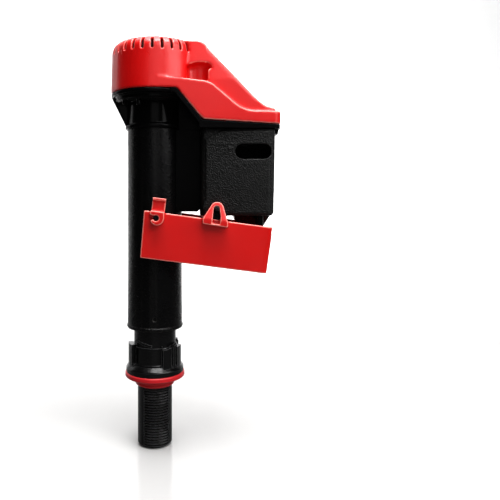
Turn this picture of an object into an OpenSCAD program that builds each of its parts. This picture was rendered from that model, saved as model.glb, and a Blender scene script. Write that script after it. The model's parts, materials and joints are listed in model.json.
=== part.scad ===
// Toilet tank fill valve with a float chamber beside the riser.
// Millimetres. Origin: centre of the shank's inlet end. +Z is up, +X points to the float chamber.

/* [Shank and stem] */
// Radius over the thread of the shank
shank_r = 11.9; // [11:0.1:13]
// Length of the threaded shank below the washer
shank_len = 41; // [35:1:50]
// Thread pitch
pitch = 1.814; // [1.6:0.001:2.2]
// Depth of the thread groove
thread_depth = 1.0; // [0.6:0.1:1.2]
// Radius of the inlet bore
inlet_r = 8; // [7:0.1:8.2]
// Length of the inlet bore up to the screen
inlet_len = 24; // [18:1:26]
// Outer radius of the stem above the collar
neck_r = 14.5; // [14:0.1:14.8]
// Height of the top of the stem
stem_top = 190; // [170:1:195]
// Outer radius of the locking collar's lugs
collar_r = 18.4; // [17.5:0.1:18.8]
// Radius of the flange above the washer
flange_r = 19.9; // [19:0.1:21]

/* [Washer] */
// Radius of the washer disc
washer_r = 20.6; // [20:0.1:23]
// Height of the washer's seating face
seat_z = 47; // [46:0.1:48]

/* [Outer tube] */
// Outer radius of the tube
tube_r = 18.9; // [18.5:0.1:19.2]
// Wall of the tube
tube_wall = 2; // [1.6:0.1:2.2]
// Height of the tube's lower end at the stored height
tube_z0 = 80.9; // [80:0.1:84]

/* [Head and cap] */
// Height of the cap's round lower edge
cap_z0 = 242.1; // [241:0.1:243]
// Height of the cap's top
cap_top = 277.4; // [275:0.1:279]
// Radius of the cap at its lower edge
cap_r = 30.4; // [30:0.1:31]
// Far end of the arm cover along X
arm_x = 84.8; // [84:0.1:86]
// Half width of the arm cover at its far end
arm_half = 23.2; // [22.5:0.1:24]
// Wall of the cap
cap_wall = 2.2; // [1.8:0.1:2.4]
// Number of vent slot positions round the cap
vent_n = 28; // [20:1:32]
// Width of a vent slot
vent_w = 1.8; // [1.2:0.1:2.2]

/* [Float chamber] */
// Near side of the chamber along X
box_x0 = 31.4; // [31:0.1:32]
// Far side of the chamber along X
box_x1 = 81; // [80:0.1:81.5]
// Half width of the chamber
box_half = 22; // [21:0.1:22.2]
// Height of the chamber's underside
box_z0 = 158.6; // [158:0.1:160]
// Height of the chamber's rim
box_z1 = 216.3; // [215:0.1:216.4]
// Wall of the chamber
box_wall = 1.8; // [1.4:0.1:2]
// Height of the middle of the level window
window_z = 201; // [196:0.1:204]

/* [Drain tray] */
// Angle by which the tray hangs below level
tray_hang = 7.4; // [5:0.1:8]
// Wall of the tray
tray_wall = 1.6; // [1.2:0.1:1.8]
// Outer half width of the tray
tray_half = 25.5; // [25.2:0.1:26]

/* [Hidden] */
$fn = 96;
e = 0.01;

// pivot of the tray, of the lever, and the level screw's axis
tray_px = 2.5;
tray_pz = 157.3;
lever_px = 13;
lever_pz = 254;
screw_x = 71;
pin_z = 215;
// middle of the tray's eye, seen from its pivot with the tray level, and the chamber's peg in it
eye_x = 38.25;
eye_z = 11;
peg_x = tray_px + eye_x * cos(tray_hang) + eye_z * sin(tray_hang);
peg_z = tray_pz - eye_x * sin(tray_hang) + eye_z * cos(tray_hang);
// drain spout
spout_x = 66.5;
spout_z = 151;
// where the collar's lugs start and end, from the front (-Y) towards +X
lug_angles = [[21, 41], [45, 54], [59, 82], [118, 150], [156, 168], [174, 196], [272, 304]];
thread_half = 47;
// angle by which each side of the arm closes in
taper = asin(cap_r / norm([arm_x, arm_half])) - atan2(arm_half, arm_x);

function arc(cx, cy, r, a0, a1, n) = [for (i = [0:n]) let (a = a0 + (a1 - a0) * i / n) [cx + r * cos(a), cy + r * sin(a)]];
function rrect(x0, y0, x1, y1, r, n) = concat(
    arc(x1 - r, y0 + r, r, -90, 0, n), arc(x1 - r, y1 - r, r, 0, 90, n),
    arc(x0 + r, y1 - r, r, 90, 180, n), arc(x0 + r, y0 + r, r, 180, 270, n));
// direction at azimuth f, measured from the front (-Y) towards +X
function az(f) = f - 90;

// prism between two azimuths, from the axis outwards
module sector(f0, f1, r, z0, z1) {
    translate([0, 0, z0]) linear_extrude(z1 - z0)
        polygon(concat([[0, 0]], [for (i = [0:6]) let (a = az(f0 + (f1 - f0) * i / 6)) [r * 1.3 * cos(a), r * 1.3 * sin(a)]]));
}
// XZ outline extruded along Y
module side(points, y0, y1) {
    translate([0, y1, 0]) rotate([90, 0, 0]) linear_extrude(y1 - y0) polygon(points);
}
// YZ outline extruded along X
module cross(points, x0, x1) {
    translate([x0, 0, 0]) rotate([90, 0, 90]) linear_extrude(x1 - x0) polygon(points);
}
module cyl(r, z0, z1) { translate([0, 0, z0]) cylinder(r = r, h = z1 - z0); }
module ring(r1, r0, z0, z1) { difference() { cyl(r1, z0, z1); cyl(r0, z0 - 1, z1 + 1); } }
module ycyl(r, x, z, y0, y1) { translate([x, y1, z]) rotate([90, 0, 0]) cylinder(r = r, h = y1 - y0); }

module shank_stem() {
    color([0.05, 0.05, 0.055]) difference() {
        union() {
            difference() {
                rotate_extrude() polygon([
                    [inlet_r, 0], [shank_r - 1.5, 0], [shank_r - 1.1, 0.4], [shank_r - 1.1, 1.3], [shank_r, 1.3], [shank_r, shank_len], [shank_r - 0.5, shank_len],
                    [shank_r - 0.5, 50.3], [flange_r - 0.4, 50.3], [flange_r, 50.7], [flange_r, 53.4], [flange_r - 0.5, 54.1],
                    [collar_r - 1.2, 56.4], [neck_r + 0.8, 57], [neck_r, 58.2], [neck_r, stem_top - 1], [neck_r - 1, stem_top],
                    [8.6, stem_top], [8.6, 48.5], [7, 47], [7, inlet_len], [inlet_r, inlet_len]]);
                // thread grooves, open at the front and the back only
                intersection() {
                    rotate_extrude() union() for (i = [0:floor((shank_len - 3.4) / pitch)]) {
                        z = 2.4 + i * pitch;
                        polygon([[shank_r + 1, z - 0.45 - 0.5], [shank_r + 1, z + 0.45 + 0.5], [shank_r, z + 0.62],
                            [shank_r - thread_depth, z + 0.14], [shank_r - thread_depth, z - 0.14], [shank_r, z - 0.62]]);
                    }
                    union() {
                        sector(11 - thread_half, 11 + thread_half, 16, -1, shank_len);
                        sector(191 - thread_half, 191 + thread_half, 16, -1, shank_len);
                    }
                }
            }
            // lugs of the locking collar
            intersection() {
                union() for (p = lug_angles) intersection() {
                    ring(collar_r, neck_r - 0.5, 54, 70.2);
                    sector(p[0], p[1], 18, 53, 71);
                }
                // their tops slope on one side
                side([[-30, 50], [30, 50], [30, 68.7], [15.6, 68.7], [15.6, 70.2], [6.3, 68], [5.8, 70.2], [-30, 70.2]], -30, 30);
            }
            // helical ramp on the neck
            for (i = [0:5]) intersection() {
                ring(neck_r + 0.6, neck_r - 0.5, 69.6 + 0.55 * i, 71 + 0.55 * i);
                sector(-14 - 9 * i, -5 - 9 * i, 16, 68, 76);
            }
            // shoulder of the neck above the collar
            ring(neck_r + 0.5, neck_r - 0.5, 56, 68.6);
            // grip ribs under the tube, on the sides of the stem
            for (f = [60, 180, 300]) for (i = [0:15]) intersection() {
                ring(neck_r + 0.7, neck_r - 0.5, 96 + 6 * i, 98 + 6 * i);
                sector(f - 12, f + 12, 16, 95, 190);
            }
        }
        // gap between the stem's two walls, open at the top
        ring(12.5, 10.4, 62, 200);
        // keyways for the lock ring
        for (f = [135, 225]) rotate([0, 0, az(f)]) translate([neck_r - 1, -2, 71.5]) cube([4, 4, 130]);
    }
}

module shank_washer() {
    color([0.78, 0.06, 0.07]) rotate_extrude() polygon([
        [shank_r - 0.35, 41.3], [12.9, 41.3], [13.4, 41.8], [13.4, 42.5], [12.9, 43], [12.9, seat_z], [washer_r - 0.5, seat_z], [washer_r, seat_z + 0.5],
        [washer_r, 49.7], [washer_r - 0.5, 50.25], [shank_r - 0.35, 50.25]]);
}

module inlet_screen() {
    color([0.85, 0.85, 0.82]) difference() {
        union() {
            ring(6.95, 4.6, inlet_len + 0.3, inlet_len + 2);
            ring(5.8, 4.6, inlet_len + 1.5, 42);
            cyl(5.8, 41, 42.4);
        }
        for (i = [0:11]) rotate([0, 0, 30 * i]) translate([3.5, -0.5, inlet_len + 4]) cube([4, 1, 13.2]);
    }
}

module lock_ring() {
    color([0.72, 0.72, 0.7]) difference() {
        union() {
            ring(16.6, 15.45, tube_z0 + 3.2, tube_z0 + 11.2);
            for (f = [135, 225]) rotate([0, 0, az(f)]) translate([neck_r - 0.7, -1.7, tube_z0 + 3.2]) cube([1.9, 3.4, 8]);
        }
        // slit of the ring
        rotate([0, 0, az(180)]) translate([12, -1.2, tube_z0]) cube([8, 2.4, 14]);
    }
}

module outer_tube() {
    tr = tube_r - tube_wall;
    color([0.045, 0.045, 0.05]) difference() {
      union() {
        rotate_extrude() polygon(concat(
            [[15.9, tube_z0 + 0.3], [16.2, tube_z0], [tube_r + 0.1, tube_z0]],
            arc(tube_r - 0.6, tube_z0 + 1.3, 1.25, -60, 60, 6),
            [[tube_r, tube_z0 + 3], [tube_r, 219], [tr, 219], [tr, tube_z0 + 13], [16, tube_z0 + 12.2], [16, tube_z0 + 11.6],
            [tr, tube_z0 + 11.6], [tr, tube_z0 + 2.8], [15.9, tube_z0 + 2.8]]));
        // pivots of the drain tray
        for (s = [-1, 1]) {
            y = s < 0 ? [-23, -17.6] : [17.6, 23];
            yy = s < 0 ? [-29.4, -22] : [22, 29.4];
            ycyl(3.4, tray_px, tray_pz, y[0], y[1]);
            ycyl(1.6, tray_px, tray_pz, yy[0], yy[1]);
        }
      }
        // gate mark
        ycyl(1.5, 1, 89.2, -30, -tube_r + 0.35);
    }
}

module riser_pipe() {
    color([0.62, 0.62, 0.6]) rotate_extrude() polygon([
        [6.2, 66], [7.6, 66], [8, 66.4], [8, 69], [6.9, 69], [6.9, 70.9], [8, 70.9], [8, 237.3], [10.4, 237.3], [10.4, 239.3],
        [8, 239.3], [8, 243.2], [7.6, 243.8], [7, 243.8], [6.2, 243]]);
}

module riser_seal() {
    color([0.08, 0.08, 0.08]) rotate_extrude() translate([7.74, 69.95]) circle(r = 0.8, $fn = 24);
}

// outline of the arm seen from the side, lowered by t along its lower edge
module arm_base_outline() {
    side([[12, cap_z0 - 0.2], [15.4, cap_z0 - 0.2], [32.5, 221.1], [arm_x - 0.3, 218.6], [arm_x - 0.3, 216.4], [30.6, 216.4],
        [30.6, 219.4], [14.3, 239.4], [12, 239.4]], -40, 40);
}
// plan of the arm: tangent to the cap's circle and narrower towards its end, inset by o
function edge_y(x, o) = cap_r / cos(taper) - (x * tan(taper)) - o / cos(taper);
module taper_plan(x1, o, r, z0, z1) {
    cx = x1 - o - r;
    cy = edge_y(cx, o) - r / cos(taper);
    translate([0, 0, z0]) linear_extrude(z1 - z0) polygon(concat(
        [[cap_r * sin(taper), -edge_y(cap_r * sin(taper), o)]], arc(cx, -cy, r, -90 + taper, 0, 6),
        arc(cx, cy, r, 0, 90 - taper, 6), [[cap_r * sin(taper), edge_y(cap_r * sin(taper), o)]]));
}
module arm_plan(x0, x1, half, r, z0, z1) {
    translate([0, 0, z0]) linear_extrude(z1 - z0) polygon(rrect(x0, -half, x1, half, r, 6));
}

module head_body() {
    tr = tube_r - tube_wall;
    color([0.05, 0.05, 0.055]) difference() {
        union() {
            rotate_extrude() polygon([
                [tube_r + 0.05, 217.4], [20.6, 217.4], [20.6, 219.6], [20.1, 220.3], [18.4, 220.3], [17.9, 236.6], [27, 236.6],
                [27, 239.2], [30, 239.4], [30.2, 239.9], [30.2, 241.6], [29.9, cap_z0 - 0.1], [27.2, cap_z0 - 0.1], [27.2, 244.6],
                [26.4, 244.6], [26.4, 242.1], [21.4, 242.1], [21.4, 243.9], [16.5, 243.9], [16.5, 242.1], [8.2, 242.1],
                [8.2, 239.5], [10.6, 239.5], [10.6, 236.6], [tr, 236.6], [tr, 219.2], [tube_r + 0.05, 219.2]]);
            // left and rear gussets under the pan
            for (f = [-90, -142, 142]) rotate([0, 0, az(f)]) side([[17.6, 220.2], [20.4, 220.2], [30, 239.5], [17.6, 239.5]], -1.1, 1.1);
            // rings and small bosses under the pan
            ring(25.6, 24.8, 235.6, 237);
            ring(22.4, 21.6, 235.6, 237);
            translate([-19.6, -14.5, 233.2]) cylinder(r = 1.5, h = 5, $fn = 32);
            translate([-9.4, -21.4, 231.6]) cylinder(r = 1.5, h = 6, $fn = 32);
            // bosses for the bonnet screws
            for (a = [45:90:315]) rotate([0, 0, a]) translate([23.6, 0, 241.5]) cylinder(r = 2.6, h = 4.4);
        }
        cyl(tr, 216, 236.6);
        cyl(tube_r + 0.05, 214, 219.2);
        // discharge ports round the seat
        for (a = [0:45:315]) rotate([0, 0, a]) translate([13.6, 0, 235]) cylinder(r = 1.9, h = 10, $fn = 32);
        for (a = [45:90:315]) rotate([0, 0, a]) translate([23.6, 0, 237.5]) cylinder(r = 1.2, h = 12, $fn = 32);
        // socket of the refill nipple
        translate([0, 14, 228.5]) rotate([-90, 0, 0]) cylinder(r = 4, h = 8);
    }
}

// arm that joins the pan to the chamber and carries the cover
module arm_frame() {
    color([0.05, 0.05, 0.055]) difference() {
        union() {
            intersection() {
                arm_base_outline();
                taper_plan(arm_x, 0.4, 5.2, 210, 250);
            }
            // web between the neck and the chamber
            side([[15.5, 216.5], [32.4, 216.5], [32.4, 219.4], [19, 235.4], [15.5, 235.4]], -12, 12);
            // lip at the far end
            side([[arm_x - 2.9, 213.6], [arm_x - 1.2, 213.2], [arm_x - 0.5, 216.6], [arm_x - 2.9, 216.6]], -14, 14);
        }
        // passage for the lever, the level screw and the float
        arm_plan(34, 80, 20.2, 3, 212, 230);
        // seat round the pan, its gussets and the neck
        cyl(30.3, 235.4, 250);
        cyl(20.7, 214, 240);
    }
}

module refill_nipple() {
    color([0.05, 0.05, 0.055]) translate([0, 0, 228.5]) rotate([-90, 0, 0]) rotate_extrude() polygon([
        [2, 15.4], [3.9, 15.4], [3.9, 18.6], [5.6, 18.6], [5.6, 20.2], [3.3, 20.2], [3.3, 32.2], [2.7, 33], [2, 33]]);
}

module diaphragm() {
    color([0.12, 0.12, 0.12]) rotate_extrude() polygon([
        [1, 244.1], [9, 244.1], [10.5, 244.7], [14.5, 244.7], [16.6, 244.0], [20.6, 244.0], [20.6, 246.0], [16.6, 246.0],
        [14.5, 245.7], [10.5, 245.7], [9.2, 245.9], [1, 245.9]]);
}
module diaphragm_plate() {
    color([0.8, 0.8, 0.78]) rotate_extrude() polygon([
        [1, 246], [8.6, 246], [9, 246.4], [9, 247.2], [3, 247.6], [3, 248.4], [1, 248.4]]);
}

module bonnet() {
    color([0.07, 0.07, 0.075]) difference() {
        union() {
            rotate_extrude() polygon([
                [0.8, 249.6], [12, 249.6], [16, 248.2], [16, 246.05], [25.9, 246.05], [25.9, 248.6], [22.4, 249.4], [18, 252],
                [4.4, 252], [2.4, 253], [2, 253.6], [0.8, 253.6]]);
            for (s = [-1, 1]) {
                y = s < 0 ? [-8, -5.6] : [5.6, 8];
                ycyl(3.2, lever_px, lever_pz, y[0], y[1]);
                translate([lever_px - 3.2, y[0], 250.5]) cube([6.4, 2.4, 3.5]);
            }
        }
        ycyl(1.25, lever_px, lever_pz, -10, 10);
        for (a = [45:90:315]) rotate([0, 0, a]) {
            translate([23.6, 0, 244]) cylinder(r = 1.45, h = 10, $fn = 32);
            translate([23.6, 0, 248.2]) cylinder(r = 2.6, h = 10, $fn = 32);
        }
    }
}
module bonnet_screws() {
    color([0.75, 0.75, 0.78]) for (a = [45:90:315]) rotate([0, 0, a]) translate([23.6, 0, 0]) difference() {
        union() {
            cyl(1.1, 239, 249);
            rotate_extrude($fn = 32) polygon([[0, 248.3], [2.2, 248.3], [2.2, 249.2], [1.4, 250], [0, 250]]);
        }
        translate([-0.25, -1.2, 249.3]) cube([0.5, 2.4, 2]);
        translate([-1.2, -0.25, 249.3]) cube([2.4, 0.5, 2]);
    }
}
module lever_pin() { color([0.75, 0.75, 0.78]) ycyl(1.2, lever_px, lever_pz, -8.6, 8.6); }

// far corner radius and draft of the chamber
module chamber_outer(o) {
    intersection() {
        side([[box_x0 + o, box_z0 + o], [box_x1 - 3 - o, box_z0 + o], [box_x1 - 1.2 - o, box_z0 + 2 + o], [box_x1 - o, 212],
            [box_x1 - o, 260 - 0], [box_x0 + o, 260 - 0]], -40, 40);
        arm_plan(box_x0 + o, box_x1 - o, box_half - o, 3.6 - o, box_z0 - 1, box_z1);
    }
}
module float_chamber() {
    w = box_wall;
    color([0.075, 0.075, 0.075]) difference() {
        union() {
            difference() {
                chamber_outer(0);
                intersection() {
                    arm_plan(box_x0 + w, box_x1 - w - 0.6, box_half - w, 2, box_z0 - 5, box_z1 + 5);
                    side([[box_x0, box_z0 - 5], [box_x1 - 1.3 - w, box_z0 - 5], [box_x1 - w, 212], [box_x1 - w, 240], [box_x0, 240]], -40, 40);
                }
            }
            // raised front panel
            side([[35, 169], [32.6, 164.5], [box_x0 + 3, 160.2], [box_x1 - 4.6, 160.2], [box_x1 - 4.2, 214.6], [45.5, 214.6], [35, 209]],
                -box_half - 0.6, -box_half + 0.5);
            // bracket and peg for the tray's eye
            side([[34, 160], [34, 157], [36.5, 153.2], [46.5, 153.2], [48.4, 157], [48.4, 160]], -box_half - 0.6, -box_half + 1);
            ycyl(1.6, peg_x, peg_z, -30.2, -box_half + 0.5);
            // level mark
            side([[36.5, 205.6], [54.5, 205.6], [54.5, 206.2], [36.5, 206.2]], -box_half - 0.9, -box_half);
            side([[49.6, 204.6], [52.2, 203], [49.6, 201.4]], -box_half - 0.9, -box_half);
        }
        // level window
        side(concat(arc(59.2, window_z, 4.85, 90, 270, 12), arc(73.3, window_z, 4.85, -90, 90, 12)), -30, -15);
    }
}
// floor of the chamber with its funnel and post
module chamber_base() {
    w = box_wall;
    color([0.075, 0.075, 0.075]) difference() {
        union() {
            arm_plan(box_x0 + w + 0.05, box_x1 - 1.4 - w, box_half - w - 0.05, 2.1, box_z0, box_z0 + 2);
            intersection() {
                side([[spout_x - 11, box_z0 + 0.5], [spout_x - 11, box_z0 - 0.02], [spout_x - 12.4, box_z0 - 0.02], [spout_x - 8.2, spout_z],
                    [spout_x + 8.2, spout_z], [spout_x + 12.4, box_z0 - 0.02], [spout_x + 11, box_z0 - 0.02], [spout_x + 11, box_z0 + 0.5]], -20, 20);
                cross([[-11, box_z0 + 0.5], [-7, spout_z], [7, spout_z], [11, box_z0 + 0.5]], 40, 90);
            }
            translate([71.2, -14.5, spout_z + 0.6]) cylinder(r = 2.6, h = 9);
        }
        // drain
        translate([spout_x, 0, 140]) cylinder(r = 4.5, h = 30);
    }
}
// hollow web between the tube and the chamber
module chamber_throat() {
    color([0.075, 0.075, 0.075]) difference() {
        side([[15, 161], [29.5, 161], [box_x0 - 0.05, 162.9], [box_x0 - 0.05, box_z1], [15, box_z1]], -12, 12);
        side([[10, 163], [box_x0 + e, 163], [box_x0 + e, 230], [10, 230]], -10.2, 10.2);
        cyl(tube_r + 0.35, 150, 230);
    }
}

// round part of the cap, inset by o
module cap_round(o) {
    rotate_extrude() polygon(concat([[0, cap_z0 - (o > 0 ? 5 : 0)], [cap_r - o, cap_z0 - (o > 0 ? 5 : 0)]],
        arc(21.7, cap_top - 8.5, 8 - o, 0, 80, 8), [[0, cap_top + 0.9 - o]]));
}
// arm cover: skirt and sloping hood, inset by o
module cap_arm(o) {
    b = o > 0 ? 8 : 0;
    // skirt
    intersection() {
        side(concat([[2, cap_z0 - b], [15.2, cap_z0 - b], [16.6, cap_z0 - 1 - b], [31.2, 223.6 - b], [33.8, 221.7 - b],
            [arm_x + 1, 219 - b], [arm_x + 1, 227.7 - o]],
            arc(68, 249.7, 22 + o, -90, -130, 8), arc(31.8, 233.1, 14 - o, 50, 84, 5), [[20, 248.4 - o], [2, 249.4 - o]]), -40, 40);
        taper_plan(arm_x, o, 5.6 - o, 200, 260);
    }
    // hood
    intersection() {
        side([[2, 251], [20, 251], [40, 231 - b], [60, 228 - b], [arm_x - 3.4 - o, 224 - b], [arm_x - 3.4 - o, 229.2 - o], [arm_x - 4.6 - o, 230 - o],
            [75 - o * 0.4, 231.2 - o], [71.5 - o * 0.5, 233.6 - o], [67.5 - o * 0.7, 237.2 - o * 0.8], [36.6 - o * 0.7, 270.4 - o * 0.7],
            [34.8 - o * 0.6, 273.4 - o * 0.8], [31.4 - o * 0.5, 275.3 - o], [22, 276 - o], [2, 276 - o]], -40, 40);
        cross([[-21.5 + o, 222 - b], [21.5 - o, 222 - b], [21 - o, 249], [17.5 - o, 276.1], [-17.5 + o, 276.1], [-21 + o, 249]], 0, 90);
        union() {
            arm_plan(-10, arm_x - 2.6 - o, 22 - o, 5 - o, 200, 300);
        }
    }
}
// finger scoop beside the dome, enlarged by o
module scoop(o) {
    translate([31.4, -23.2, 0]) rotate_extrude($fn = 64) polygon(concat(
        [[0, 248.2 - o], [8.6 + o, 248.2 - o]], arc(4.6, 256.6, 4 + o, 0, 90, 5), [[0, 260.6 + o]]));
    translate([28, -20.2, 0]) rotate_extrude($fn = 64) polygon(concat(
        [[0, 248.2 - o], [6 + o, 248.2 - o]], arc(3, 256.6, 3 + o, 0, 90, 5), [[0, 259.6 + o]]));
}
module cap_hood() {
    color([0.8, 0.05, 0.05]) difference() {
        union() { cap_round(0); cap_arm(0); }
        difference() {
            union() { cap_round(cap_wall); cap_arm(cap_wall); }
            scoop(2);
        }
        // the scoop is cut round a small post at its far edge
        difference() {
            scoop(0);
            translate([38.2, -19.6, 0]) rotate_extrude($fn = 32) polygon([[0, 240], [1.8, 240], [1.8, 255.2], [1, 256.4], [0, 256.4]]);
        }
        // vents in the shoulder
        for (i = [0:vent_n - 1]) let (f = i * 360 / vent_n) if (f < 52 || f > 128) rotate([0, 0, az(f)]) {
            translate([22.6, -vent_w / 2, 268.3]) cube([12, vent_w, 12]);
            translate([22.6, 0, 268.3]) rotate([0, 90, 0]) cylinder(r = vent_w / 2, h = 12, $fn = 16);
        }
        // well over the level screw
        translate([screw_x, 0, 215]) cylinder(r = 4.9, h = 40);
    }
}

module float_lever() {
    color([0.16, 0.16, 0.17]) difference() {
        union() {
            side([[-4, 257], [8, 257], [10, 255], [12, 252.6], [19, 252.6], [28.4, 249.4], [60, 213.4], [63.5, 211.7], [63.5, 218.3],
                [61, 219.2], [33, 251], [22, 258.8], [14, 260], [-4, 260]], -3.5, 3.5);
            side([[10.6, 256], [11.6, 252.6], [14.4, 252.6], [15.4, 256]], -5.2, 5.2);
            for (s = [-1, 1]) {
                y = s < 0 ? [-6.4, -3.7] : [3.7, 6.4];
                side([[56, 217], [61, 211.7], [74.6, 211.7], [74.6, 218.3], [61.5, 218.3], [58, 221.6]], y[0], y[1]);
            }
            side([[56, 217], [61, 211.7], [63.5, 211.7], [63.5, 218.3], [61.5, 218.3], [58, 221.6]], -6.4, 6.4);
        }
        ycyl(1.25, lever_px, lever_pz, -8, 8);
        // slots that carry the trunnion's pins
        side(concat(arc(67, pin_z, 1.65, 90, 270, 8), arc(71.2, pin_z, 1.65, -90, 90, 8)), -9, 9);
        // seat of the pilot pad
        translate([0, 0, 255]) cylinder(r = 2.25, h = 3.2, $fn = 32);
    }
}
module pilot_pad() { color([0.1, 0.1, 0.1]) translate([0, 0, 255.15]) cylinder(r = 2.2, h = 3, $fn = 32); }

module rod_trunnion() {
    color([0.8, 0.8, 0.78]) difference() {
        union() {
            translate([screw_x - 3.2, -3.3, 212]) cube([6.4, 6.6, 6]);
            ycyl(1.4, screw_x, pin_z, -7, 7);
        }
        translate([screw_x, 0, 205]) cylinder(r = 2.1, h = 20, $fn = 48);
    }
}
module level_screw() {
    color([0.8, 0.05, 0.05]) translate([screw_x, 0, 0]) difference() {
        rotate_extrude($fn = 48) polygon(concat(
            [[0, 168], [1.9, 168]],
            [for (i = [0:13], q = [0:1]) q == 0 ? [1.9, 168.5 + 3 * i] : [2.35, 169.4 + 3 * i]],
            [[1.9, 209.8], [1.9, 210.4], [3, 210.4], [3, 211.4], [2.05, 211.9], [2.05, 218.15], [3.1, 218.15], [3.1, 219.4], [4.2, 219.4],
            [4.2, 223.2], [3.8, 223.7], [0, 223.7]]));
        translate([-3.2, -0.5, 222.2]) cube([6.4, 1, 3]);
        translate([-0.5, -3.2, 222.2]) cube([1, 6.4, 3]);
    }
}
module float_cup() {
    color([0.1, 0.1, 0.105]) difference() {
        union() {
            difference() {
                arm_plan(34.8, 77.8, 19, 3, 170, 194);
                arm_plan(36.4, 76.2, 17.4, 2, 169, 192);
            }
            translate([screw_x, 0, 180]) cylinder(r = 5.2, h = 13);
            for (x = [47, 59]) translate([x, -18, 180]) cube([1.4, 36, 13]);
        }
        translate([screw_x, 0, 160]) cylinder(r = 3.95, h = 50, $fn = 48);
    }
}
module float_nut() {
    color([0.8, 0.8, 0.78]) translate([screw_x, 0, 0]) rotate_extrude($fn = 48) polygon([
        [2.45, 178.5], [3.9, 178.5], [3.9, 194.05], [5.6, 194.05], [5.6, 195.6], [2.45, 195.6]]);
}

// The tray is drawn level with its pivot at the origin, then hung.
module in_tray() { translate([tray_px, 0, tray_pz]) rotate([0, tray_hang, 0]) children(); }
module drain_tray() {
    w = tray_wall;
    color([0.8, 0.05, 0.05]) in_tray() difference() {
        union() {
            // side walls and far wall
            intersection() {
                difference() {
                    arm_plan(-40, 76.8, tray_half, 3.6, -40, 20);
                    arm_plan(-41, 76.8 - w, tray_half - w, 3.6 - w, -41, 21);
                }
                side([[-8.6, 3.9], [-7.2, -27.2], [76.2, -27], [76.8, 3.7]], -40, 40);
            }
            for (s = [-1, 1]) {
                yl = s < 0 ? [-30.6, -tray_half + 0.5] : [tray_half - 0.5, 30.6];
                // clip round the pivot
                side(concat([[-4, 4.6]], [[4.9, 4.6], [5.2, 0.5]], arc(0.6, 0, 4.6, -6, -150, 8), [[-2.4, -1.0], [-4.6, 1.0]]), yl[0], yl[1]);
                // tab above the clip
                yt = s < 0 ? [-tray_half, -tray_half + 1.8] : [tray_half - 1.8, tray_half];
                side([[-3.9, 3], [4.9, 3], [5, 13.2], [-3.9, 13.2]], yt[0], yt[1]);
                ytl = s < 0 ? [-tray_half - 1.4, -tray_half + 1] : [tray_half - 1, tray_half + 1.4];
                side([[-3.9, 11.4], [5, 11.4], [5, 13.2], [-3.9, 13.2]], ytl[0], ytl[1]);
            }
            // eye lug
            intersection() {
                side(concat([[30.2, 0.4], [46.8, 0], [46.4, 3.4]], arc(38.5, 11.2, 4.4, 12, 162, 8), [[30, 3.8]]), -31, -tray_half + w);
                cross([[-tray_half + w, -1], [-tray_half + w, 16], [-27.4, 16], [-31, 4], [-31, -1]], 20, 60);
            }
            // near wall, curved round the tube
            intersection() {
                difference() {
                    translate([-tray_px, 0, -27.2]) cylinder(r = 27.4 + w, h = 22.7);
                    translate([-tray_px, 0, -30]) cylinder(r = 27.4, h = 32);
                }
                translate([4, -tray_half + 0.2, -40]) cube([40, 2 * tray_half - 0.4, 60]);
            }
            // plate that carries the seal and traps air below it
            difference() {
                translate([0, 0, -10]) intersection() { arm_plan(-40, 76.2, tray_half - 0.2, 3.4, 0, 1.8); translate([5, -40, 0]) cube([80, 80, 5]); }
                translate([-tray_px, 0, -30]) cylinder(r = 27.6, h = 40);
            }
        }
        // the far wall is lower, to pass under the chamber and beside its funnel
        translate([66, -tray_half + 2.2, -1]) cube([20, 2 * tray_half - 4.4, 20]);
        translate([66, -13, -4.8]) cube([20, 26, 20]);
        ycyl(1.9, 0, 0, -40, 40);
        // mouths of the clips
        for (y = [-40, tray_half + 0.3]) side([[0.5, -1.1], [-1, -1.3], [-7, 0.4], [-7, 2.6], [-1, 1.3], [0.5, 1.1]], y, y + 40 - tray_half - 0.3);
        // slot of the eye, wider below so that the peg clears it as the tray rises
        side(concat(arc(eye_x, eye_z, 1.9, 0, 180, 12), [[eye_x - 1.9, 1.4], [eye_x + 3.2, 1.4], [eye_x + 3.1, 6]]), -40, -tray_half - 0.6);
        side(concat(arc(eye_x, eye_z, 1.9, 0, 180, 12), [[eye_x - 1.9, 4], [eye_x + 3.15, 4], [eye_x + 3.1, 6]]), -40, -20);
        // recess of the seal
        translate([spout_x - tray_px, 0, -9]) cylinder(r = 8.1, h = 4);
    }
}
module drain_pad() {
    color([0.1, 0.1, 0.1]) in_tray() translate([spout_x - tray_px, 0, -8.9]) cylinder(r = 8, h = 2.3);
}

shank_stem();
shank_washer();
inlet_screen();
lock_ring();
outer_tube();
riser_pipe();
riser_seal();
head_body();
arm_frame();
refill_nipple();
diaphragm();
diaphragm_plate();
bonnet();
bonnet_screws();
lever_pin();
float_chamber();
chamber_base();
chamber_throat();
cap_hood();
float_lever();
pilot_pad();
rod_trunnion();
level_screw();
float_cup();
float_nut();
drain_tray();
drain_pad();
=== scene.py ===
"""Looks for the toilet fill valve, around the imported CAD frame."""
import bpy, bmesh, json, math
from mathutils import Vector, Matrix


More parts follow.
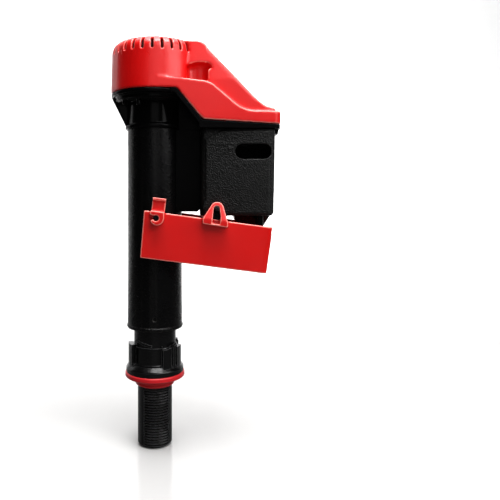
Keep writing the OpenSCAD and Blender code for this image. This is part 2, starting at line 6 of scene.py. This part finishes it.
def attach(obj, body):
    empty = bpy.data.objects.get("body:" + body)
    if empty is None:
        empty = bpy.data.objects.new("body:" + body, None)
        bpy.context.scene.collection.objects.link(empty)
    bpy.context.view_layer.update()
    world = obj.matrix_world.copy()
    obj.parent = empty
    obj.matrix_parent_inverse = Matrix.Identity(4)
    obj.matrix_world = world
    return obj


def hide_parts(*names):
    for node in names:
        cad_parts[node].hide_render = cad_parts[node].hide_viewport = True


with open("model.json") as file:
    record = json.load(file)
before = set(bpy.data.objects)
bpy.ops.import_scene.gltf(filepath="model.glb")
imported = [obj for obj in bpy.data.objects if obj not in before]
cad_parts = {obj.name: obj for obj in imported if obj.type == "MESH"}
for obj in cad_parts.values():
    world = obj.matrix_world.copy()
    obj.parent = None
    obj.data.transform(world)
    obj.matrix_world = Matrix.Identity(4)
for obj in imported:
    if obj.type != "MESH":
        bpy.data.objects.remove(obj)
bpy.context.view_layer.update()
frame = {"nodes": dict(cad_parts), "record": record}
nodes = frame["nodes"]

# ---------------------------------------------------------------- materials
def socket(bsdf, name, value):
    if name in bsdf.inputs:
        bsdf.inputs[name].default_value = value


def plastic(name, base, dark, light, rough, rough_var=0.06, grain=None, grain_scale=2600.0, peel=0.12, bevel=0.0005,
            edge=0.35, coat=0.0, spec=0.5, mottling=0.25, dust=0.0, sss=0.0, streak=0.0, ridge=0.0, even=0.25):
    """Moulded plastic or rubber: base colour with slow mottling, edges painted lighter (partly rubbed wear, partly
    painted highlight), painted highlights on rounded ridges if ridge is given, uneven gloss, orange peel and fine
    scratches, and if grain is given a spark-eroded texture of that depth."""
    m = bpy.data.materials.new(name)
    m.use_nodes = True
    nt = m.node_tree
    N, L = nt.nodes, nt.links
    N.clear()
    out = N.new("ShaderNodeOutputMaterial")
    b = N.new("ShaderNodeBsdfPrincipled")
    L.new(b.outputs[0], out.inputs[0])
    socket(b, "Specular IOR Level", spec)
    socket(b, "Coat Weight", coat)
    socket(b, "Coat Roughness", 0.12)
    if sss:
        socket(b, "Subsurface Weight", sss)
        socket(b, "Subsurface Radius", (0.0022, 0.0006, 0.0004))
        socket(b, "Subsurface Scale", 1.0)
    tc = N.new("ShaderNodeTexCoord")

    def noise(scale, detail=4.0, roughness=0.55, vec=None, dist=0.0):
        n = N.new("ShaderNodeTexNoise")
        n.inputs["Scale"].default_value = scale
        n.inputs["Detail"].default_value = detail
        n.inputs["Roughness"].default_value = roughness
        n.inputs["Distortion"].default_value = dist
        L.new(vec if vec is not None else tc.outputs["Object"], n.inputs["Vector"])
        return n.outputs["Fac"]

    def maprange(v, a, c, lo=0.0, hi=1.0):
        r = N.new("ShaderNodeMapRange")
        r.inputs["From Min"].default_value = a
        r.inputs["From Max"].default_value = c
        r.inputs["To Min"].default_value = lo
        r.inputs["To Max"].default_value = hi
        L.new(v, r.inputs["Value"])
        return r.outputs["Result"]

    def mathn(op, a, c):
        k = N.new("ShaderNodeMath")
        k.operation = op
        for i, v in enumerate((a, c)):
            if isinstance(v, (int, float)):
                k.inputs[i].default_value = v
            else:
                L.new(v, k.inputs[i])
        return k.outputs[0]

    def mix(fac, a, c, mode="MIX"):
        k = N.new("ShaderNodeMix")
        k.data_type = "RGBA"
        k.blend_type = mode
        k.clamp_factor = True
        if isinstance(fac, (int, float)):
            k.inputs[0].default_value = fac
        else:
            L.new(fac, k.inputs[0])
        for i, v in ((6, a), (7, c)):
            if isinstance(v, tuple):
                k.inputs[i].default_value = (*v, 1.0)
            else:
                L.new(v, k.inputs[i])
        return k.outputs[2]

    # edges: where the rounded normal leaves the flat one. The pale colour mixed in from this mask is partly rubbed wear
    # and partly a painted highlight along the edges.
    bev = N.new("ShaderNodeBevel")
    bev.samples = 8
    bev.inputs["Radius"].default_value = bevel
    geo = N.new("ShaderNodeNewGeometry")
    dot = N.new("ShaderNodeVectorMath")
    dot.operation = "DOT_PRODUCT"
    L.new(bev.outputs[0], dot.inputs[0])
    L.new(geo.outputs["Normal"], dot.inputs[1])
    wear_and_highlight = maprange(dot.outputs["Value"], 0.995, 0.80)
    wear_and_highlight = mathn("MULTIPLY", wear_and_highlight, maprange(noise(420.0, 5.0, 0.7), 0.38, 0.72, even, 1.0))

    slow = maprange(noise(38.0, 3.0), 0.32, 0.68)
    fine = maprange(noise(900.0, 5.0, 0.65), 0.3, 0.7)
    col = mix(mathn("MULTIPLY", slow, mottling), base, dark)
    col = mix(mathn("MULTIPLY", fine, mottling * 0.5), col, dark)
    # painted highlight and wear: edges mixed towards the pale colour
    col = mix(mathn("MULTIPLY", wear_and_highlight, edge), col, light)
    if ridge:
        # painted highlight: rounded convex edges of the moulding are painted paler, as if catching the light from above
        p = maprange(geo.outputs["Pointiness"], 0.508, 0.535)
        p = mathn("MULTIPLY", p, maprange(noise(160.0, 3.0, 0.6), 0.3, 0.6, 0.6, 1.0))
        # not on the plain side of the dome
        xyz = N.new("ShaderNodeSeparateXYZ")
        L.new(tc.outputs["Object"], xyz.inputs[0])
        p = mathn("MULTIPLY", p, mathn("MAXIMUM", maprange(xyz.outputs["X"], 0.018, 0.024),
                                       mathn("MAXIMUM", maprange(xyz.outputs["Z"], 0.2645, 0.267, 0.0, 0.4), maprange(xyz.outputs["Z"], 0.235, 0.233))))
        col = mix(mathn("MULTIPLY", p, ridge), col, light)
    if streak:
        st = N.new("ShaderNodeMapping")
        st.inputs["Scale"].default_value = (1.0, 1.0, 0.03)
        L.new(tc.outputs["Object"], st.inputs["Vector"])
        s = maprange(noise(260.0, 4.0, 0.6, st.outputs[0]), 0.45, 0.75)
        col = mix(mathn("MULTIPLY", s, streak), col, light)
    if dust:
        d = maprange(noise(2400.0, 2.0, 0.5), 0.70, 0.78)
        col = mix(mathn("MULTIPLY", d, dust), col, light)
    L.new(col, b.inputs["Base Color"])

    # gloss: smudges and hairline scratches
    smudge = maprange(noise(70.0, 4.0, 0.6, dist=0.6), 0.3, 0.7, rough - rough_var, rough + rough_var)
    sc = N.new("ShaderNodeMapping")
    sc.inputs["Scale"].default_value = (0.6, 3.0, 7.0)
    sc.inputs["Rotation"].default_value = (0.4, 0.9, 0.3)
    L.new(tc.outputs["Object"], sc.inputs["Vector"])
    scratch = maprange(noise(900.0, 2.0, 0.4, sc.outputs[0], dist=0.2), 0.66, 0.72)
    r = mathn("ADD", smudge, mathn("MULTIPLY", scratch, 0.12))
    r = mathn("ADD", r, mathn("MULTIPLY", wear_and_highlight, 0.10))
    L.new(r, b.inputs["Roughness"])

    # relief
    h = noise(520.0, 3.0, 0.5)
    bump = N.new("ShaderNodeBump")
    bump.inputs["Strength"].default_value = peel
    bump.inputs["Distance"].default_value = 0.0002
    L.new(h, bump.inputs["Height"])
    L.new(bev.outputs[0], bump.inputs["Normal"])
    last = bump.outputs[0]
    if grain:
        v = N.new("ShaderNodeTexVoronoi")
        v.inputs["Scale"].default_value = grain_scale
        L.new(tc.outputs["Object"], v.inputs["Vector"])
        g = mathn("ADD", v.outputs["Distance"], noise(grain_scale * 1.3, 3.0, 0.6))
        b2 = N.new("ShaderNodeBump")
        b2.inputs["Strength"].default_value = grain
        b2.inputs["Distance"].default_value = 0.0003
        L.new(g, b2.inputs["Height"])
        L.new(last, b2.inputs["Normal"])
        last = b2.outputs[0]
    L.new(last, b.inputs["Normal"])
    return m


# In these finishes, edge and light paint pale highlights on edges, partly as wear (strongest on the shank's thread
# crests and the tube lip). ridge paints highlights on the rounded ridges of the red parts.
RED = plastic("red_moulded", (0.60, 0.006, 0.006), (0.46, 0.003, 0.004), (1.0, 0.42, 0.36), 0.33, bevel=0.0007, edge=0.4,
              coat=0.12, ridge=0.8, grain=0.08, grain_scale=1500.0, spec=0.45)
RED_TRAY = plastic("red_tray", (0.60, 0.007, 0.006), (0.48, 0.004, 0.004), (1.0, 0.38, 0.32), 0.33, bevel=0.0006, edge=0.5,
                   ridge=0.8, coat=0.08, spec=0.45)
BLACK = plastic("black_moulded", (0.0035, 0.0035, 0.0038), (0.002, 0.002, 0.002), (0.07, 0.07, 0.073), 0.22, bevel=0.0005,
                edge=0.5, coat=0.12, mottling=0.4, spec=0.14)
BLACK_DULL = plastic("black_moulded_dull", (0.0025, 0.0025, 0.0028), (0.0015, 0.0015, 0.0015), (0.06, 0.06, 0.062), 0.34,
                     bevel=0.0005, edge=0.5, mottling=0.4, spec=0.05)
HEAD = plastic("black_head", (0.003, 0.003, 0.0032), (0.0018, 0.0018, 0.0018), (0.10, 0.10, 0.103), 0.20, bevel=0.0006,
               edge=0.7, coat=0.04, mottling=0.4, spec=0.06)
SHANK = plastic("black_shank", (0.0035, 0.0035, 0.0038), (0.002, 0.002, 0.002), (0.26, 0.26, 0.265), 0.22, bevel=0.0003, even=0.8,
                edge=0.85, coat=0.10, mottling=0.4, spec=0.28, grain=0.15, grain_scale=1200.0)
TUBE = plastic("black_tube", (0.003, 0.003, 0.0033), (0.0018, 0.0018, 0.002), (0.10, 0.095, 0.085), 0.27, bevel=0.0006,
               edge=0.7, coat=0.0, mottling=0.4, streak=0.06, spec=0.2, grain=0.35, grain_scale=900.0)
GRAIN = plastic("black_grained", (0.0045, 0.0045, 0.0044), (0.002, 0.002, 0.002), (0.08, 0.08, 0.075), 0.34, bevel=0.0006,
                edge=0.5, grain=1.0, grain_scale=1100.0, mottling=0.5, dust=0.5, spec=0.28)
RUBBER_RED = plastic("rubber_red", (0.58, 0.012, 0.020), (0.42, 0.006, 0.010), (0.92, 0.30, 0.30), 0.36, bevel=0.0006,
                     edge=0.5, peel=0.2, coat=0.15)
RUBBER_BLACK = plastic("rubber_black", (0.008, 0.008, 0.008), (0.005, 0.005, 0.005), (0.05, 0.05, 0.05), 0.6, peel=0.25)
GREY = plastic("grey_natural", (0.30, 0.30, 0.29), (0.22, 0.22, 0.215), (0.5, 0.5, 0.49), 0.45)
WHITE = plastic("white_natural", (0.70, 0.70, 0.67), (0.60, 0.60, 0.57), (0.9, 0.9, 0.88), 0.42)


def steel():
    m = plastic("steel_turned", (0.55, 0.55, 0.57), (0.42, 0.42, 0.44), (0.8, 0.8, 0.82), 0.28, grain=0.08, bevel=0.0002)
    for n in m.node_tree.nodes:
        if n.type == "BSDF_PRINCIPLED":
            n.inputs["Metallic"].default_value = 1.0
    return m


STEEL = steel()
finish_of = {
    "shank_stem": SHANK, "shank_washer": RUBBER_RED, "inlet_screen": WHITE, "lock_ring": GREY, "outer_tube": TUBE,
    "riser_pipe": GREY, "riser_seal": RUBBER_BLACK, "head_body": HEAD, "refill_nipple": BLACK, "diaphragm": RUBBER_BLACK,
    "diaphragm_plate": WHITE, "bonnet": BLACK, "bonnet_screws": STEEL, "lever_pin": STEEL, "float_chamber": GRAIN,
    "cap_hood": RED, "float_lever": GREY, "pilot_pad": RUBBER_BLACK, "rod_trunnion": WHITE, "level_screw": BLACK,
    "float_cup": BLACK, "arm_frame": BLACK_DULL, "chamber_base": BLACK, "chamber_throat": BLACK_DULL, "float_nut": WHITE, "drain_tray": RED_TRAY, "drain_pad": RUBBER_BLACK}
for name, o in nodes.items():
    for s in o.material_slots:
        s.link = "OBJECT"
        s.material = finish_of[name]



def soften(name, voxel=0.00045, smooth=6, factor=0.5, more=0, where=None, most=0, ridge=None):
    """A moulded copy of a CAD node: its edges take the small radii that a mould leaves, and its fillets run into each other."""
    src = nodes[name]
    me = src.data.copy()
    o = bpy.data.objects.new(name + "_moulded", me)
    bpy.context.scene.collection.objects.link(o)
    o.matrix_world = src.matrix_world.copy()
    bm = bmesh.new()
    bm.from_mesh(me)
    bmesh.ops.remove_doubles(bm, verts=bm.verts, dist=1e-6)
    bm.to_mesh(me)
    bm.free()
    r = o.modifiers.new("remesh", "REMESH")
    r.mode = "VOXEL"
    r.voxel_size = voxel
    r.adaptivity = 0.0
    r.use_smooth_shade = True
    k = o.modifiers.new("smooth", "SMOOTH")
    k.factor = factor
    k.iterations = smooth
    def bake():
        dg = bpy.context.evaluated_depsgraph_get()
        new = bpy.data.meshes.new_from_object(o.evaluated_get(dg))
        o.modifiers.clear()
        old = o.data
        o.data = new
        bpy.data.meshes.remove(old)
        return new

    done = bake()
    for count, test in ((more, where), (most, ridge)):
        if not count:
            continue
        g = o.vertex_groups.new(name="fillets")
        g.add([v.index for v in done.vertices if test(v.co)], 1.0, "REPLACE")
        k = o.modifiers.new("smooth2", "SMOOTH")
        k.factor = factor
        k.iterations = count
        k.vertex_group = "fillets"
        done = bake()
        o.vertex_groups.clear()
    for p in done.polygons:
        p.use_smooth = True
    done.materials.clear()
    done.materials.append(finish_of[name])
    for s_ in o.material_slots:
        s_.link = "DATA"
    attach(o, frame_body(name))
    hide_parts(name)
    return o


def frame_body(name):
    for b_, ns in frame["record"]["behaviour"]["bodies"].items():
        if name in ns:
            return b_


soften("cap_hood", 0.00045, 5, more=22, where=lambda c: c.z < 0.2655 or c.x > 0.0215,
       most=60, ridge=lambda c: 0.036 < c.x < 0.069 and c.z > 0.2704 - (c.x - 0.0366) * 1.0745 - 0.0055)
soften("drain_tray", 0.0004, 4)
soften("head_body", 0.00045, 4)
soften("float_chamber", 0.00045, 4)

# ---------------------------------------------------------------- stage
def backdrop():
    me = bpy.data.meshes.new("backdrop")
    bm = bmesh.new()
    prof = [(-2.2, 0.0)] + [(-2.2 + 0.3 * i, 0.0) for i in range(1, 10)]
    y0, r = 0.75, 1.1
    prof += [(y0 + r * math.sin(a), r - r * math.cos(a)) for a in [math.radians(5 * i) for i in range(0, 19)]]
    prof += [(y0 + r, 3.2)]
    rows = []
    for y, z in prof:
        rows.append([bm.verts.new((x, y, z - 0.0004)) for x in (-3.0, -1.0, 1.0, 3.0)])
    for a, b in zip(rows, rows[1:]):
        for i in range(3):
            bm.faces.new((a[i], a[i + 1], b[i + 1], b[i]))
    bm.to_mesh(me)
    bm.free()
    for p in me.polygons:
        p.use_smooth = True
    o = bpy.data.objects.new("backdrop", me)
    bpy.context.scene.collection.objects.link(o)
    m = bpy.data.materials.new("backdrop_paint")
    m.use_nodes = True
    b = m.node_tree.nodes["Principled BSDF"]
    b.inputs["Base Color"].default_value = (0.80, 0.80, 0.80, 1)
    b.inputs["Roughness"].default_value = 0.14
    b.inputs["Specular IOR Level"].default_value = 0.5
    b.inputs["Emission Color"].default_value = (1.0, 0.995, 0.99, 1)
    # seen directly the paper is bright, and so is its wall, but glossy parts reflect a duller floor
    nt = m.node_tree
    path = nt.nodes.new("ShaderNodeLightPath")
    where = nt.nodes.new("ShaderNodeTexCoord")
    split = nt.nodes.new("ShaderNodeSeparateXYZ")
    nt.links.new(where.outputs["Object"], split.inputs[0])
    wall = nt.nodes.new("ShaderNodeMapRange")
    wall.inputs["From Min"].default_value = 0.25
    wall.inputs["From Max"].default_value = 0.8
    nt.links.new(split.outputs["Y"], wall.inputs["Value"])

    def blend(fac, a, c):
        k = nt.nodes.new("ShaderNodeMix")
        k.data_type = "RGBA"
        nt.links.new(fac, k.inputs[0])
        for i, v in ((6, a), (7, c)):
            if isinstance(v, tuple):
                k.inputs[i].default_value = (*v, 1.0)
            else:
                nt.links.new(v, k.inputs[i])
        return k.outputs[2]

    seen = path.outputs["Is Camera Ray"]
    colour = blend(wall.outputs["Result"], blend(seen, (0.14, 0.14, 0.14), (0.50, 0.496, 0.492)), (0.80, 0.80, 0.80))
    # the floor stays pale far from the lights
    reach = nt.nodes.new("ShaderNodeVectorMath")
    reach.operation = "LENGTH"
    nt.links.new(where.outputs["Object"], reach.inputs[0])
    far = nt.nodes.new("ShaderNodeMapRange")
    far.inputs["From Min"].default_value = 0.5
    far.inputs["From Max"].default_value = 1.8
    nt.links.new(reach.outputs["Value"], far.inputs["Value"])
    distant = blend(far.outputs["Result"], (0.0, 0.0, 0.0), (0.75, 0.75, 0.75))
    glow = blend(wall.outputs["Result"], blend(seen, (0.0, 0.0, 0.0), distant), (0.26, 0.26, 0.26))
    nt.links.new(colour, b.inputs["Base Color"])
    nt.links.new(glow, b.inputs["Emission Color"])
    b.inputs["Emission Strength"].default_value = 1.0
    # clear from below, so that the underside can be looked at
    side = nt.nodes.new("ShaderNodeNewGeometry")
    clear = nt.nodes.new("ShaderNodeBsdfTransparent")
    either = nt.nodes.new("ShaderNodeMixShader")
    nt.links.new(side.outputs["Backfacing"], either.inputs[0])
    nt.links.new(b.outputs[0], either.inputs[1])
    nt.links.new(clear.outputs[0], either.inputs[2])
    nt.links.new(either.outputs[0], nt.nodes["Material Output"].inputs["Surface"])
    me.materials.append(m)
    return o


backdrop()


def area(name, loc, target, size, size_y, power, colour=(1, 1, 1)):
    l = bpy.data.lights.new(name, "AREA")
    l.shape = "RECTANGLE"
    l.size, l.size_y, l.energy, l.color = size, size_y, power, colour
    o = bpy.data.objects.new(name, l)
    o.location = loc
    o.rotation_euler = (Vector(target) - Vector(loc)).to_track_quat("-Z", "Y").to_euler()
    bpy.context.scene.collection.objects.link(o)
    return o


area("key", (0.62, -0.42, 0.62), (0.04, 0, 0.21), 0.55, 0.60, 4.2)
area("front", (0.05, -0.80, 0.42), (0.02, 0, 0.20), 0.46, 0.55, 0.7)
area("front_high", (0.28, -0.62, 0.72), (0.04, 0, 0.24), 0.35, 0.30, 1.5)
area("rim", (-0.50, 0.26, 0.40), (0.0, 0, 0.2), 0.12, 0.8, 0.45)
area("low", (0.02, -0.42, 0.03), (0.0, 0, 0.06), 0.30, 0.04, 0.12).visible_glossy = False
area("top", (0.08, -0.16, 0.80), (0.04, 0, 0.22), 0.40, 0.24, 5.0)
area("over", (0.05, 0.25, 1.35), (0.03, 0.15, 0.0), 1.3, 1.1, 16.0)
area("back", (0.0, 0.45, 0.9), (0.0, 1.85, 1.0), 1.8, 0.9, 26.0)

w = bpy.data.worlds.new("room")
w.use_nodes = True
w.node_tree.nodes["Background"].inputs[0].default_value = (1, 1, 1, 1)
bg = w.node_tree.nodes["Background"]
ray = w.node_tree.nodes.new("ShaderNodeLightPath")
level = w.node_tree.nodes.new("ShaderNodeMapRange")
level.inputs["To Min"].default_value = 0.02
level.inputs["To Max"].default_value = 0.9
w.node_tree.links.new(ray.outputs["Is Camera Ray"], level.inputs["Value"])
w.node_tree.links.new(level.outputs["Result"], bg.inputs[1])
bpy.context.scene.world = w
bpy.context.scene.view_settings.view_transform = "Standard"
bpy.context.scene.view_settings.look = "Medium High Contrast"

cam_data = bpy.data.cameras.new("camera")
cam_data.sensor_fit = "VERTICAL"
cam_data.sensor_height = 36.0
cam_data.sensor_width = 26.0
cam_data.lens = 38.88
cam_data.shift_x = 0.12
cam_data.shift_y = -0.11
cam_data.clip_start = 0.01
cam = bpy.data.objects.new("camera", cam_data)
cam.location = (0.0245, -0.378, 0.1723)
cam.rotation_euler = (math.pi / 2, 0, 0)
bpy.context.scene.collection.objects.link(cam)
bpy.context.scene.camera = cam
